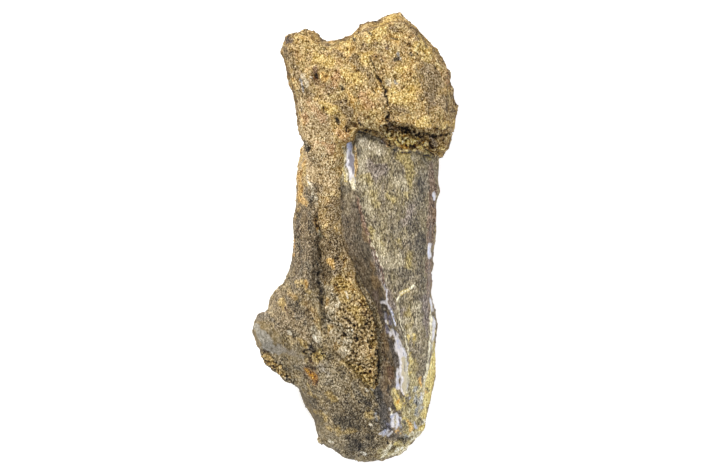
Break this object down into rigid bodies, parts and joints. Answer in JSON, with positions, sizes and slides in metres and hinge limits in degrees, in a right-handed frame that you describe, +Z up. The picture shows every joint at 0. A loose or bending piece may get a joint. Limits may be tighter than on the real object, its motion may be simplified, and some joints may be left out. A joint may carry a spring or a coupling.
{
  "type": "fossil dinosaur tooth",
  "caption": "Worn duck-billed dinosaur tooth with a keeled enamel face, lying on its back, its root end held in a lump of tan sandstone.",
  "frame": {"origin": "middle of the footprint, on the surface that the fossil lies on", "axes": "+Y along the tooth from its tip to the sandstone at its root end, +Z up out of the keeled enamel face"},
  "size_m": [0.023, 0.05, 0.0148],
  "materials": {
    "fossil_tooth": "worn brown enamel and root, silky on the enamel face and rough on the root",
    "sandstone": "dry broken sandstone, matt and grainy"
  },
  "bodies": {
    "root": {"tooth": "fossil_tooth", "sandstone_matrix": "sandstone"}
  },
  "joints": []
}
